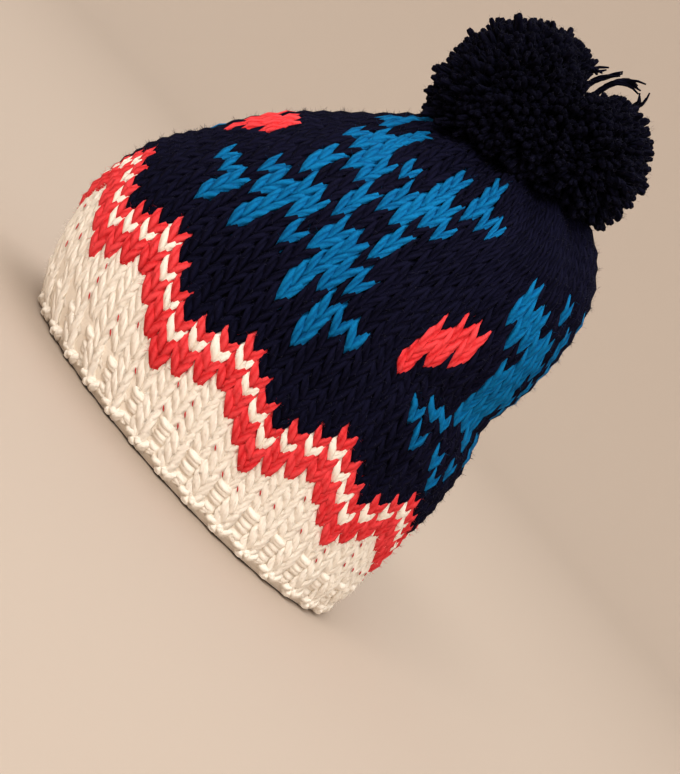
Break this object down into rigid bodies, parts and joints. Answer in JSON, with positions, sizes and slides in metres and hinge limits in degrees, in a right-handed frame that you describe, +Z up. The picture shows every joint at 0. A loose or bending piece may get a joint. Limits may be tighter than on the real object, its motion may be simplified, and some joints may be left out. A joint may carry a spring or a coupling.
{
  "type": "knitted bobble hat",
  "caption": "Chunky hand-knitted hat with a ribbed cream brim, a red zigzag band, a navy crown with blue snowflakes and red hearts, and a large navy pompom.",
  "frame": {"origin": "on the surface that the hat stands on, under the middle of its bounding box", "axes": "+Z up from the brim to the pompom, -X to the front over the forehead, +X to the back, -Y to the wearer's left"},
  "size_m": [0.2318, 0.1944, 0.2741],
  "materials": {
    "cream_wool": "matt super-chunky wool, cream white",
    "red_wool": "matt super-chunky wool, bright red",
    "navy_wool": "matt super-chunky wool, very dark navy",
    "pompom_wool": "cut wool yarn, very dark navy",
    "blue_wool": "matt super-chunky wool, bright blue"
  },
  "bodies": {
    "root": {"brim": "cream_wool", "zigzag_band": "red_wool", "crown": "navy_wool", "pompom": "pompom_wool"}
  },
  "joints": []
}
